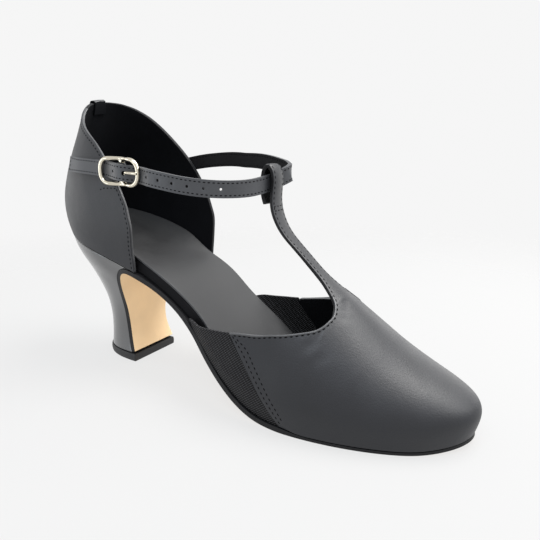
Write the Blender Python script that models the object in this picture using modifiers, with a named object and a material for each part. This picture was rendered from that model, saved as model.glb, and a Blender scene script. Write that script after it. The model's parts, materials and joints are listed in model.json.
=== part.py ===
"""A right dance shoe: T-strap character shoe with a flared heel, built from its separate pieces.

Metres, +Z up, +X towards the toe, +Y towards the inner side of the foot. Heights are above the floor.
The shoe is modelled with X measured from the back of the heel, and one empty then carries all
pieces to the frame whose origin is the middle of the bounding box's bottom.
"""
import math
from collections import namedtuple

import bmesh
import bpy
from mathutils import Vector

# Clearances and layer thicknesses
GAP = 0.0003
SOLE_T = 0.0025
SOCK_T = 0.0010
LEATHER_T = 0.0018
GORE_T = 0.0012
GORE_SINK = 0.0005
STRAP_T = 0.0018
STRAP_W = 0.0078
TAB_T = 0.0008

# Sole and last
BALL_X = 0.1530
TOE_RUN = 0.0738
TIP_Y = 0.0025
TOE_POWER = 1.176
HEEL_X = 0.0380
CUP_RISE = 0.0062
CUP_SPREAD = 0.0018
CUP_FRONT_X = {"lateral": 0.0640, "medial": 0.0755}
CUP_RUN = 0.0225
FEATHER_INSET = 0.0006
BULGE = 0.0024
BULGE_RISE = 0.0120
TIP_BULGE_RISE = 0.0070
ROUND_INSTEP = 1.16
ROUND_TOE = 0.98
ROUND_FROM_X = 0.1700
ROUND_TO_X = 0.2100
FAN_FROM = 0.35
FAN_TO_X = 0.2180

# Throat, seam to the gores and T-strap
SEAM_TOP_X = 0.1260
SEAM_FOOT_X = 0.1534
T_CROWN = 25.0
T_ROOT = 0.0150
GORE_BACK_X = {"lateral": 0.0955, "medial": 0.0985}
GORE_BACK_RISE = 0.0020

# Heel and top piece
TIP_H = 0.0046
TIP_LIP = 0.0009
FLAP_FOOT_Z = 0.0056
SIDE_POWER = 0.90

# Quarter: its plan is a half oval with two straight sides
BACK_RUN = 0.0550
FRONT_RUN = {"lateral": (0.0785, 0.0795, 0.0818, 0.0800), "medial": (0.0876, 0.0877, 0.0871, 0.0822)}

# Buckle, in its own axes along the strap, across it and out of the shoe
BUCKLE_AT = Vector((0.0629, -0.0304, 0.1086))
BUCKLE_TILT = math.radians(2.0)
STRAP_SLANT = 0.075
BUCKLE_HALF_L = 0.0127
BUCKLE_HALF_W = 0.0060
BUCKLE_CORNER = 0.0050
BUCKLE_WIRE_R = 0.0008
BUCKLE_BAR_R = 0.0007
BUCKLE_BOW = 0.0025
PRONG_R = 0.00055
HOLE_R = 0.0008
USED_HOLE_R = 0.0011
HOLE_PITCH = 0.0075
HOLES = 9
PRONG_HOLE_S = 0.0048

SIGN = {"lateral": -1.0, "medial": 1.0}
PATH_STEPS = 24
SIDE_ROWS = 8
LOW_ROWS = 2

Sole = namedtuple("Sole", "x lateral medial")
# Edge of the sole from the seat to the ball, as Y on each side
SOLE = (
    Sole(0.0380, -0.0270, 0.0270),
    Sole(0.0620, -0.0264, 0.0260),
    Sole(0.0720, -0.0257, 0.0252),
    Sole(0.0890, -0.0244, 0.0256),
    Sole(0.0970, -0.0253, 0.0273),
    Sole(0.1070, -0.0287, 0.0304),
    Sole(0.1160, -0.0312, 0.0327),
    Sole(0.1240, -0.0327, 0.0343),
    Sole(0.1380, -0.0344, 0.0364),
    Sole(0.1530, -0.0355, 0.0370),
)

Board = namedtuple("Board", "x thick")
# Insole board: stiff and deep under heel and arch, thin under the ball
BOARD = (
    Board(0.0000, 0.0054),
    Board(0.0650, 0.0054),
    Board(0.0900, 0.0050),
    Board(0.1100, 0.0048),
    Board(0.1400, 0.0027),
    Board(0.2300, 0.0027),
)

Profile = namedtuple("Profile", "x z")
# Underside of the foot line: seat, arch, flat tread and toe spring
BOTTOM = (
    Profile(-0.0060, 0.0701),
    Profile(0.0086, 0.0684),
    Profile(0.0200, 0.0659),
    Profile(0.0350, 0.0620),
    Profile(0.0490, 0.0578),
    Profile(0.0620, 0.0538),
    Profile(0.0710, 0.0504),
    Profile(0.0790, 0.0460),
    Profile(0.0870, 0.0400),
    Profile(0.0950, 0.0328),
    Profile(0.1030, 0.0254),
    Profile(0.1110, 0.0184),
    Profile(0.1190, 0.0118),
    Profile(0.1270, 0.0062),
    Profile(0.1350, 0.0024),
    Profile(0.1430, 0.0004),
    Profile(0.1500, 0.0000),
    Profile(0.2050, 0.0000),
    Profile(0.2270, 0.0025),
)

Flap = namedtuple("Flap", "x z half")
# Face of the sole where it leaves the arch and runs down the heel's front, with its half width
FLAP = (
    Flap(0.0570, 0.0551, 0.0262),
    Flap(0.0525, 0.0555, 0.0257),
    Flap(0.0490, 0.0539, 0.0248),
    Flap(0.0470, 0.0505, 0.0234),
    Flap(0.0453, 0.0450, 0.0212),
    Flap(0.0437, 0.0380, 0.0182),
    Flap(0.0427, 0.0310, 0.0157),
    Flap(0.0423, 0.0240, 0.0144),
    Flap(0.0427, 0.0170, 0.0142),
    Flap(0.0440, 0.0110, 0.0149),
    Flap(0.0458, FLAP_FOOT_Z, 0.0158),
)

HeelBack = namedtuple("HeelBack", "z back straight")
# Back line of the heel, and how far its sides run straight before they round to the back
HEEL_BACK = (
    HeelBack(0.0000, 0.0157, 0.0030),
    HeelBack(0.0120, 0.0173, 0.0020),
    HeelBack(0.0224, 0.0176, 0.0020),
    HeelBack(0.0340, 0.0164, 0.0020),
    HeelBack(0.0420, 0.0141, 0.0030),
    HeelBack(0.0493, 0.0107, 0.0040),
    HeelBack(0.0580, 0.0045, 0.0070),
    HeelBack(0.0656, -0.0008, 0.0120),
    HeelBack(0.0715, -0.0027, 0.0190),
)

Level = namedtuple("Level", "z back width")
# Plan of the quarter at each height: its back line and its half width
LEVELS = (
    Level(0.0540, 0.0020, 0.0260),
    Level(0.0625, 0.0002, 0.0270),
    Level(0.0717, -0.0027, 0.0286),
    Level(0.0830, -0.0056, 0.0302),
    Level(0.0930, -0.0054, 0.0306),
    Level(0.0990, -0.0036, 0.0305),
    Level(0.1080, -0.0002, 0.0297),
    Level(0.1140, 0.0023, 0.0286),
    Level(0.1260, 0.0075, 0.0248),
    Level(0.1450, 0.0125, 0.0178),
)

Topline = namedtuple("Topline", "run lateral medial")
# Collar height of the quarter, by distance round from the back seam
TOPLINE = (
    Topline(0.0000, 0.1446, 0.1446),
    Topline(0.0100, 0.1434, 0.1450),
    Topline(0.0210, 0.1400, 0.1447),
    Topline(0.0350, 0.1338, 0.1425),
    Topline(0.0500, 0.1267, 0.1365),
    Topline(0.0620, 0.1180, 0.1252),
    Topline(0.0720, 0.1070, 0.1128),
    Topline(0.0775, 0.0990, 0.1035),
    Topline(0.0800, 0.0930, 0.0985),
    Topline(0.0822, 0.0900, 0.0930),
)

Ridge = namedtuple("Ridge", "x y z")
# Top line of the last, from the imagined instep over the throat to the toe
RIDGE = (
    Ridge(0.0940, 0.0000, 0.1120),
    Ridge(0.1220, 0.0000, 0.1100),
    Ridge(0.1300, 0.0000, 0.0980),
    Ridge(0.1360, 0.0000, 0.0840),
    Ridge(0.1430, 0.0000, 0.0740),
    Ridge(0.1510, 0.0000, 0.0662),
    Ridge(0.1600, 0.0000, 0.0604),
    Ridge(0.1665, 0.0000, 0.0560),
    Ridge(0.1790, 0.0005, 0.0466),
    Ridge(0.1910, 0.0010, 0.0373),
    Ridge(0.2030, 0.0018, 0.0301),
    Ridge(0.2145, 0.0024, 0.0247),
    Ridge(0.2220, 0.0025, 0.0213),
)

Throat = namedtuple("Throat", "x lateral medial")
# Top edge of the vamp from the gore seam to the throat, as the level reached on each side of the upper
THROAT = (
    Throat(SEAM_TOP_X, 0.172, 0.148),
    Throat(0.1350, 0.258, 0.232),
    Throat(0.1440, 0.344, 0.332),
    Throat(0.1520, 0.412, 0.405),
    Throat(0.1585, 0.473, 0.473),
    Throat(0.1642, 0.545, 0.545),
    Throat(0.1669, 0.625, 0.625),
    Throat(0.1680, 0.700, 0.700),
)

TWidth = namedtuple("TWidth", "run half")
# Half width of the T-strap by distance from the throat, with the round corners at its root
T_WIDTH = (
    TWidth(0.0000, 0.0146),
    TWidth(0.0004, 0.0122),
    TWidth(0.0010, 0.0107),
    TWidth(0.0022, 0.0091),
    TWidth(0.0042, 0.0077),
    TWidth(0.0075, 0.0062),
    TWidth(0.0120, 0.0047),
    TWidth(0.0200, 0.0038),
    TWidth(0.0300, 0.0037),
    TWidth(0.0450, 0.0041),
    TWidth(0.0550, 0.0046),
    TWidth(0.0900, 0.0046),
)

TStrap = namedtuple("TStrap", "x y z")
# Outer face of the T-strap, from the throat up, over the ankle strap and down behind itself
T_STRAP = (
    TStrap(0.1680, 0.0000, 0.0549),
    TStrap(0.1605, 0.0003, 0.0600),
    TStrap(0.1520, 0.0012, 0.0658),
    TStrap(0.1470, 0.0016, 0.0700),
    TStrap(0.1418, 0.0018, 0.0752),
    TStrap(0.1375, 0.0018, 0.0802),
    TStrap(0.1340, 0.0017, 0.0858),
    TStrap(0.1319, 0.0016, 0.0910),
    TStrap(0.1310, 0.0018, 0.0960),
    TStrap(0.1312, 0.0020, 0.1010),
    TStrap(0.1316, 0.0021, 0.1062),
    TStrap(0.1304, 0.0021, 0.1110),
    TStrap(0.1274, 0.0021, 0.1132),
    TStrap(0.1243, 0.0021, 0.1110),
    TStrap(0.1232, 0.0021, 0.1062),
    TStrap(0.1230, 0.0020, 0.1010),
    TStrap(0.1240, 0.0018, 0.0962),
    TStrap(0.1252, 0.0017, 0.0936),
)

Ankle = namedtuple("Ankle", "x y z")
# Middle of the ankle strap ahead of the buckle, through the loop and back along the inner side
ANKLE_FREE = (
    Ankle(0.0830, -0.0332, 0.1064),
    Ankle(0.0910, -0.0330, 0.1052),
    Ankle(0.1010, -0.0312, 0.1036),
    Ankle(0.1110, -0.0272, 0.1024),
    Ankle(0.1190, -0.0205, 0.1019),
    Ankle(0.1240, -0.0125, 0.1021),
    Ankle(0.1263, -0.0035, 0.1032),
    Ankle(0.1272, 0.0030, 0.1044),
    Ankle(0.1280, 0.0068, 0.1054),
    Ankle(0.1299, 0.0096, 0.1066),
    Ankle(0.1309, 0.0124, 0.1079),
    Ankle(0.1286, 0.0150, 0.1092),
    Ankle(0.1220, 0.0185, 0.1107),
    Ankle(0.1080, 0.0239, 0.1127),
    Ankle(0.0920, 0.0283, 0.1129),
    Ankle(0.0760, 0.0311, 0.1117),
)
ANKLE_BACK_RUN = 0.0412
ANKLE_FAR_RUNS = (0.0770, 0.0680, 0.0590)
ANKLE_NEAR_Z = (0.1112, 0.1098)
ANKLE_FAR_Z = (0.1104, 0.1090)


def along(table, column, key):
    """Smooth value of a column at a key of the table's first column, without overshoot."""
    keys = [row[0] for row in table]
    values = [getattr(row, column) for row in table]
    if key <= keys[0]:
        return values[0]
    if key >= keys[-1]:
        return values[-1]
    at = max(i for i in range(len(keys) - 1) if keys[i] <= key)
    steps = [(values[i + 1] - values[i]) / (keys[i + 1] - keys[i]) for i in range(len(keys) - 1)]

    def slope(i):
        if i == 0 or i == len(keys) - 1:
            return steps[min(i, len(steps) - 1)]
        before, after = steps[i - 1], steps[i]
        return 0.0 if before * after <= 0.0 else 2.0 * before * after / (before + after)

    width = keys[at + 1] - keys[at]
    s = (key - keys[at]) / width
    start, end = values[at], values[at + 1]
    pull_in, pull_out = slope(at) * width, slope(at + 1) * width
    blend = 3.0 * s * s - 2.0 * s ** 3
    return start + (end - start) * blend + pull_in * (s - 2 * s * s + s ** 3) + pull_out * (s ** 3 - s * s)


def smooth_path(points, count=PATH_STEPS):
    """Dense smooth curve through points, as a list of vectors."""
    points = [Vector(p) for p in points]
    gaps = [max((b - a).length, 1e-6) for a, b in zip(points, points[1:])]
    pulls = []
    for i in range(len(points)):
        if i == 0:
            pulls.append((points[1] - points[0]) / gaps[0])
        elif i == len(points) - 1:
            pulls.append((points[-1] - points[-2]) / gaps[-1])
        else:
            before = (points[i] - points[i - 1]) / gaps[i - 1]
            after = (points[i + 1] - points[i]) / gaps[i]
            pulls.append((before * gaps[i] + after * gaps[i - 1]) / (gaps[i] + gaps[i - 1]))
    curve = []
    for i, gap in enumerate(gaps):
        for k in range(count):
            s = k / count
            blend = 3 * s * s - 2 * s ** 3
            curve.append(points[i].lerp(points[i + 1], blend) + pulls[i] * gap * (s - 2 * s * s + s ** 3)
                         + pulls[i + 1] * gap * (s ** 3 - s * s))
    curve.append(points[-1])
    return curve


def lengths(curve):
    """Running length at every point of a dense curve."""
    run = [0.0]
    for a, b in zip(curve, curve[1:]):
        run.append(run[-1] + (b - a).length)
    return run


def at_length(curve, run, distance):
    """Point, direction and fractional index of a dense curve at a distance from its start."""
    distance = min(max(distance, 0.0), run[-1])
    i = 0
    while i < len(run) - 2 and run[i + 1] < distance:
        i += 1
    part = (distance - run[i]) / max(run[i + 1] - run[i], 1e-9)
    before, after = curve[max(i - 1, 0)], curve[min(i + 2, len(curve) - 1)]
    return curve[i].lerp(curve[i + 1], part), (after - before).normalized(), i + part


def arch(x):
    """Height and slope of the foot line at x."""
    step = 0.0005
    slope = (along(BOTTOM, "z", x + step) - along(BOTTOM, "z", x - step)) / (2 * step)
    return along(BOTTOM, "z", x), slope


def over_arch(x, lift):
    """Point at a distance straight off the foot line."""
    z, slope = arch(x)
    norm = math.hypot(1.0, slope)
    return x - lift * slope / norm, z + lift / norm


def seat(x, lift):
    """Height above x of a layer that lies lift off the foot line."""
    z, slope = arch(x)
    return z + lift * math.hypot(1.0, slope)


def sole_edge(side, u, inset=0.0):
    """Plan point of the sole's edge: u is x up to the ball, and then runs round the toe to its tip."""
    if u <= BALL_X:
        return u, along(SOLE, side, u) - SIGN[side] * inset
    turn = 0.5 * math.pi * min((u - BALL_X) / TOE_RUN, 1.0)
    reach = along(SOLE, side, BALL_X) - SIGN[side] * inset - TIP_Y
    x = BALL_X + (TOE_RUN - inset) * math.sin(turn) ** TOE_POWER
    return x, TIP_Y + reach * math.cos(turn)


def quarter_point(run, z, out=0.0):
    """Point of the quarter's outer face: run goes round from the back seam, negative on the outer side."""
    def bare(r, h):
        side = math.copysign(1.0, r)
        back, width = along(LEVELS, "back", h), along(LEVELS, "width", h)
        if abs(r) >= BACK_RUN:
            return Vector((HEEL_X + abs(r) - BACK_RUN, side * width, h))
        turn = 0.5 * math.pi * abs(r) / BACK_RUN
        return Vector((HEEL_X - (HEEL_X - back) * math.cos(turn) ** SIDE_POWER,
                       side * width * math.sin(turn) ** SIDE_POWER, h))
    step = 0.0004
    around = bare(run + step, z) - bare(run - step, z)
    upward = bare(run, z + step) - bare(run, z - step)
    normal = upward.cross(around).normalized()
    if normal.dot(Vector((HEEL_X, 0.0, z)) - bare(run, z)) > 0.0:
        normal.negate()
    return bare(run, z) + normal * out


def upper_rib(side, u):
    """Foot point, spine point and heights of the vamp's section at a station of the sole's edge."""
    bx, by = sole_edge(side, u, FEATHER_INSET)
    part = (u - BALL_X) / TOE_RUN
    cx = bx
    if part > FAN_FROM:
        start = sole_edge(side, BALL_X + FAN_FROM * TOE_RUN, FEATHER_INSET)[0]
        cx = start + (FAN_TO_X - start) * (1.0 - (1.0 - (part - FAN_FROM) / (1.0 - FAN_FROM)) ** 2.2)
    spine = Vector((cx, along(RIDGE, "y", cx), along(RIDGE, "z", cx)))
    foot = Vector((bx, by, seat(bx, SOLE_T + GAP)))
    rise = BULGE_RISE + (TIP_BULGE_RISE - BULGE_RISE) * max(part, 0.0)
    return foot, spine, foot.z + rise


def roundness(x):
    """Power of the vamp's section: above one it is peaked like the instep, below one it is fuller."""
    part = min(max((x - ROUND_FROM_X) / (ROUND_TO_X - ROUND_FROM_X), 0.0), 1.0)
    return ROUND_INSTEP + (ROUND_TOE - ROUND_INSTEP) * part


def upper_point(side, u, level):
    """Point of the upper's outer face: level -1 at the sole, 0 at the widest line and 1 on the ridge."""
    foot, spine, wide_z = upper_rib(side, u)
    away = Vector((foot.x - spine.x, foot.y - spine.y, 0.0))
    reach = away.length
    away.normalize()
    if level <= 0.0:
        rise = 1.0 + level
        spread = reach + BULGE * (1.0 - (1.0 - rise) ** 2)
        return Vector((spine.x, spine.y, foot.z + (wide_z - foot.z) * rise)) + away * spread
    wide = reach + BULGE
    turn = 0.5 * math.pi * level
    power = roundness(spine.x)
    spread = wide * max(math.cos(turn), 0.0) ** power
    step = 0.0015
    fall = (along(RIDGE, "z", spine.x + step) - along(RIDGE, "z", spine.x - step)) / (2 * step)
    lean = fall * away.x * spread * (1.0 - spread / wide)
    z = wide_z + (spine.z - wide_z) * math.sin(turn) ** power + lean
    return Vector((spine.x, spine.y, z)) + away * spread


def level_at(side, u, z):
    """Level at which the upper's side reaches a height."""
    foot, spine, wide_z = upper_rib(side, u)
    if z <= wide_z:
        return (z - foot.z) / (wide_z - foot.z) - 1.0
    part = min((z - wide_z) / (spine.z - wide_z), 1.0)
    return math.asin(part ** (1.0 / roundness(spine.x))) / (0.5 * math.pi)


def seam_x(side, z):
    """Place of the straight seam between vamp and gore at a height."""
    foot = seat(SEAM_FOOT_X, SOLE_T + GAP)
    top = upper_point(side, SEAM_TOP_X, along(THROAT, side, SEAM_TOP_X)).z
    return SEAM_FOOT_X + (SEAM_TOP_X - SEAM_FOOT_X) * (z - foot) / (top - foot)


def seam_spot(side, level):
    """Place of the seam where it crosses a level of the upper's side."""
    x = 0.5 * (SEAM_FOOT_X + SEAM_TOP_X)
    for _ in range(30):
        x = 0.5 * (x + seam_x(side, upper_point(side, min(x, BALL_X), level).z))
    return x


shoe = bpy.data.collections.new("dance_shoe")
cutters = bpy.data.collections.new("cutters")


def clear_scene():
    for thing in list(bpy.data.objects):
        bpy.data.objects.remove(thing, do_unlink=True)
    bpy.context.scene.collection.children.link(shoe)
    bpy.context.scene.collection.children.link(cutters)


def material(name, colour, roughness, metallic=0.0):
    made = bpy.data.materials.get(name)
    if made is None:
        made = bpy.data.materials.new(name)
        made.use_nodes = True
        surface = made.node_tree.nodes["Principled BSDF"]
        surface.inputs["Base Color"].default_value = (*colour, 1.0)
        surface.inputs["Roughness"].default_value = roughness
        surface.inputs["Metallic"].default_value = metallic
    return made


def black_leather():
    return material("black leather", (0.030, 0.031, 0.034), 0.45)


def mesh_object(name, bm, finish):
    bmesh.ops.recalc_face_normals(bm, faces=bm.faces)
    mesh = bpy.data.meshes.new(name)
    bm.to_mesh(mesh)
    bm.free()
    mesh.shade_smooth()
    mesh.set_sharp_from_angle(angle=math.radians(40.0))
    piece = bpy.data.objects.new(name, mesh)
    piece.data.materials.append(finish)
    shoe.objects.link(piece)
    return piece


def sheet_mesh(rows):
    """Open quad sheet through rows of points, all rows of the same length."""
    bm = bmesh.new()
    lines = [[bm.verts.new(p) for p in row] for row in rows]
    for low, high in zip(lines, lines[1:]):
        for i in range(len(low) - 1):
            bm.faces.new((low[i], low[i + 1], high[i + 1], high[i]))
    return bm, lines


def face_out(bm, probe, direction):
    """Turn an open sheet so that the face nearest to probe looks along direction."""
    bmesh.ops.recalc_face_normals(bm, faces=bm.faces)
    bm.faces.ensure_lookup_table()
    nearest = min(bm.faces, key=lambda f: (f.calc_center_median() - Vector(probe)).length)
    if nearest.normal.dot(Vector(direction)) < 0.0:
        bmesh.ops.reverse_faces(bm, faces=bm.faces)


def shell(name, bm, finish, thickness, probe, direction, offset=-1.0, thinning=None):
    """Closed wall from an open sheet whose outer face looks along direction at probe."""
    face_out(bm, probe, direction)
    mesh = bpy.data.meshes.new(name)
    bm.to_mesh(mesh)
    bm.free()
    mesh.shade_smooth()
    mesh.set_sharp_from_angle(angle=math.radians(40.0))
    piece = bpy.data.objects.new(name, mesh)
    piece.data.materials.append(finish)
    shoe.objects.link(piece)
    solid = piece.modifiers.new("wall", "SOLIDIFY")
    solid.thickness = thickness
    solid.offset = offset
    solid.use_even_offset = True
    if thinning is not None:
        group = piece.vertex_groups.new(name="thickness")
        for vertex in mesh.vertices:
            group.add([vertex.index], thinning(vertex.co.x), "REPLACE")
        solid.vertex_group = group.name
    return piece


def sole_rows(inset, start_x, step, across, lift):
    """Rows across the sole from a start to the toe tip, each lifted off the foot line."""
    stations = []
    count = round((BALL_X - start_x) / step)
    stations += [start_x + (BALL_X - start_x) * i / count for i in range(count)]
    toe = 14
    stations += [BALL_X + TOE_RUN * i / toe for i in range(toe)] + [BALL_X + TOE_RUN * 0.975]
    rows = []
    for u in stations:
        edges = [Vector((*sole_edge(side, u, inset), 0.0)) for side in ("lateral", "medial")]
        row = []
        for i in range(across + 1):
            point = edges[0].lerp(edges[1], i / across)
            x, z = over_arch(point.x, lift(point.x))
            row.append((x, point.y, z))
        rows.append(row)
    return rows


def seat_rows(inset, across, lift):
    """Rows across the heel seat from its rounded back to where its sides run straight."""
    rows = []
    steps = 9
    for k in range(1, steps):
        turn = 0.5 * math.pi * k / steps
        x = HEEL_X - (HEEL_X - along(LEVELS, "back", 0.0717) - inset) * math.cos(turn) ** SIDE_POWER
        half = (along(SOLE, "medial", HEEL_X) - inset) * math.sin(turn) ** SIDE_POWER
        row_x, row_z = over_arch(x, lift(x))
        rows.append([(row_x, half * (2.0 * i / across - 1.0), row_z) for i in range(across + 1)])
    return rows


def flap_stations():
    """Evenly spaced stations down the flap: face point, half width and direction towards the heel."""
    curve = smooth_path([(row.x, row.half, row.z) for row in FLAP])
    run = lengths(curve)
    stations = []
    count = 16
    for i in range(count + 1):
        point, way, _ = at_length(curve, run, run[-1] * i / count)
        inward = Vector((way.z, 0.0, -way.x)).normalized()
        if inward.x > 0.0 and inward.z < 0.0:
            inward.negate()
        stations.append((point.x, point.z, point.y, inward))
    return stations


def build_outsole():
    across = 4
    rows = list(reversed(sole_rows(0.0, 0.0620, 0.0046, across, lambda x: 0.0)))
    for x, z, half, _ in flap_stations():
        rows.append([(x, half * (2.0 * i / across - 1.0), z) for i in range(across + 1)])
    bm, _ = sheet_mesh(rows)
    finish = material("sole leather", (0.62, 0.43, 0.25), 0.55)
    shell("outsole", bm, finish, SOLE_T, (0.175, 0.0, 0.0), (0, 0, -1))


def ring_block(name, rings, finish):
    """Closed block through D-shaped rings, each a half outline from front to back that is mirrored in Y."""
    bm = bmesh.new()
    loops = []
    for ring in rings:
        outer = [bm.verts.new((x, -y, z)) for x, y, z in ring[:-1]]
        back = bm.verts.new((ring[-1][0], 0.0, ring[-1][2]))
        inner = [bm.verts.new((x, y, z)) for x, y, z in ring[:-1]]
        loops.append(outer + [back] + inner[::-1])
    for low, high in zip(loops, loops[1:]):
        size = len(low)
        for i in range(size):
            j = (i + 1) % size
            bm.faces.new((low[i], low[j], high[j], high[i]))
    for loop in (loops[0], loops[-1]):
        last = len(loop) - 1
        middle = last // 2
        for i in range(middle - 1):
            bm.faces.new((loop[i], loop[i + 1], loop[last - i - 1], loop[last - i]))
        bm.faces.new((loop[middle - 1], loop[middle], loop[middle + 1]))
    return mesh_object(name, bm, finish)


def heel_ring(front_x, front_z, half, part, spread=0.0):
    """Half outline of the heel from its front edge to its back line; part is 0 at its foot, 1 at the seat."""
    def height(x):
        return TIP_H + part * (seat(x, SOLE_T) - TIP_H)
    back_z = height(along(HEEL_BACK, "back", height(0.010)))
    back = along(HEEL_BACK, "back", back_z) - spread
    straight = along(HEEL_BACK, "straight", back_z)
    side_x = front_x - straight
    wide = half + spread
    if part > 0.8:
        seat_half = along(LEVELS, "width", seat(HEEL_X, SOLE_T))
        wide += (seat_half - half) * (part - 0.8) / 0.2
    ring = [(front_x, half + spread, front_z)]
    steps = 12
    for k in range(steps + 1):
        turn = 0.5 * math.pi * (1.0 - k / steps)
        x = side_x - (side_x - back) * math.cos(turn) ** SIDE_POWER
        ring.append((x, wide * math.sin(turn) ** SIDE_POWER, height(x)))
    return ring


def build_heel():
    rings = []
    stations = flap_stations()[::-1]
    for x, z, half, inward in stations:
        front_x = x + inward.x * (SOLE_T + GAP)
        front_z = max(z + inward.z * (SOLE_T + GAP), TIP_H)
        part = (front_z - TIP_H) / (seat(front_x, SOLE_T) - TIP_H)
        rings.append(heel_ring(front_x, front_z, half, min(max(part, 0.0), 1.0)))
    ring_block("heel", rings, black_leather())


def build_heel_tip():
    foot = FLAP[-1]
    rings = []
    for z, spread in ((0.0, TIP_LIP), (TIP_H * 0.5, 1.5 * TIP_LIP), (TIP_H - GAP, TIP_LIP)):
        ring = heel_ring(foot.x + TIP_LIP, z, foot.half, 0.0, spread)
        rings.append([(x, y, z) for x, y, _ in ring])
    ring_block("heel_tip", rings, material("black rubber", (0.018, 0.018, 0.019), 0.60))


def board_share(x):
    """Share of the board's full thickness at x."""
    return along(BOARD, "thick", x) / BOARD[0].thick


def insole_inset(x):
    """Distance of the insole's edge inside the sole's edge: least where the arch is open."""
    if x < 0.075:
        part = min(max((0.075 - x) / 0.012, 0.0), 1.0)
    else:
        part = min(max((x - 0.088) / 0.012, 0.0), 1.0)
    return 0.0015 + 0.0019 * part


def insole_rows(extra, across, lift):
    rows = seat_rows(insole_inset(0.0) + extra, across, lift)
    for row in sole_rows(0.0, HEEL_X, 0.0060, across, lift):
        middle = 0.5 * (row[0][1] + row[-1][1])
        half = 0.5 * (row[-1][1] - row[0][1])
        x = row[across // 2][0]
        shrink = insole_inset(x) + extra
        share = max(half - shrink, 0.0006) / half
        pull = max(0.0, (x - BALL_X) / TOE_RUN) ** 3 * shrink
        rows.append([(p[0] - pull, middle + (p[1] - middle) * share, p[2]) for p in row])
    return rows


def cupped(point):
    """Point of the sock turned up and out towards the quarter, most at the edge of the heel seat."""
    x, y, z = point
    front = CUP_FRONT_X["lateral" if y < 0.0 else "medial"]
    part = min(max((front - x) / CUP_RUN, 0.0), 1.0)
    half = along(SOLE, "medial", x) - insole_inset(x)
    behind = max(HEEL_X - x, 0.0) / (HEEL_X - along(LEVELS, "back", 0.0717) - insole_inset(x))
    reach = math.hypot(behind, y / half)
    turn = (3 * part * part - 2 * part ** 3) * min(reach, 1.0) ** 5
    away = Vector((-behind, y / half, 0.0)) / max(reach, 1e-6)
    return Vector((x, y, z + CUP_RISE * turn)) + away * (CUP_SPREAD * turn)


def build_insole():
    across = 4
    rows = insole_rows(0.0, across, lambda x: SOLE_T + GAP)
    bm, _ = sheet_mesh(rows)
    shell("insole_board", bm, material("black wrap", (0.020, 0.020, 0.022), 0.85), BOARD[0].thick,
          (0.175, 0.0, 0.003), (0, 0, 1), 1.0, board_share)
    rows = insole_rows(0.0004, 6, lambda x: SOLE_T + 2 * GAP + along(BOARD, "thick", x))
    bm, _ = sheet_mesh([[cupped(point) for point in row] for row in rows])
    shell("insole_sock", bm, material("grey sock", (0.085, 0.087, 0.093), 0.50), SOCK_T,
          (0.175, 0.0, 0.006), (0, 0, 1), 1.0)


def quarter_ribs():
    """Grid of the quarter's outer face: ribs from the outer front edge round the back to the inner one."""
    ribs = []
    half, rows = 13, 10
    for i in range(-half, half + 1):
        side = "lateral" if i < 0 else "medial"
        part = i / half
        fronts = FRONT_RUN[side]
        top = along(TOPLINE, side, abs(part) * fronts[-1])
        base = 0.065
        for _ in range(6):
            base = seat(quarter_point(part * fronts[0], base).x, SOLE_T + GAP)
        rib = []
        for j in range(rows + 1):
            rise = j / rows
            spot = rise * (len(fronts) - 1)
            k = min(int(spot), len(fronts) - 2)
            reach = fronts[k] + (fronts[k + 1] - fronts[k]) * (spot - k)
            rib.append(quarter_point(part * reach, base + (top - base) * rise))
        ribs.append(rib)
    return ribs


def build_quarter():
    bm, _ = sheet_mesh(quarter_ribs())
    shell("upper_quarter", bm, black_leather(), LEATHER_T, (0.0, 0.0, 0.09), (-1, 0, 0))


def build_back_tab():
    """Tab folded over the collar at the back seam."""
    half_run, drop_out, drop_in = 0.0068, 0.0120, 0.0060
    clear = 2 * GAP + TAB_T
    wall = LEATHER_T + 2 * GAP
    rows = []
    columns = 4
    for i in range(columns + 1):
        run = half_run * (2.0 * i / columns - 1.0)
        top = along(TOPLINE, "lateral" if run < 0 else "medial", abs(run))
        line = [(top - drop_out, clear), (top - 0.5 * drop_out, clear), (top - 0.0012, clear),
                (top + 0.6 * clear, 0.7 * clear), (top + clear, -0.3 * LEATHER_T),
                (top + clear, -0.7 * LEATHER_T), (top + 0.6 * clear, -wall - 0.4 * TAB_T),
                (top - 0.0012, -wall - TAB_T), (top - drop_in, -wall - TAB_T)]
        rows.append([quarter_point(run, min(z, 0.1449), out) + Vector((0, 0, max(z - 0.1449, 0.0)))
                     for z, out in line])
    bm, _ = sheet_mesh(rows)
    shell("back_tab", bm, black_leather(), TAB_T, (0.008, 0.0, 0.135), (-1, 0, 0))


def station(x):
    """Station of the sole's edge that lies at x: behind the ball it is x itself."""
    if x <= BALL_X:
        return x
    share = ((x - BALL_X) / (TOE_RUN - FEATHER_INSET)) ** (1.0 / TOE_POWER)
    return BALL_X + TOE_RUN * math.asin(share) / (0.5 * math.pi)


def side_level(row, top):
    """Level of a row of the upper's side: a few rows up to the widest line, and the others to the top."""
    if row <= LOW_ROWS:
        return row / LOW_ROWS - 1.0
    return top * (row - LOW_ROWS) / (SIDE_ROWS - LOW_ROWS)


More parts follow.
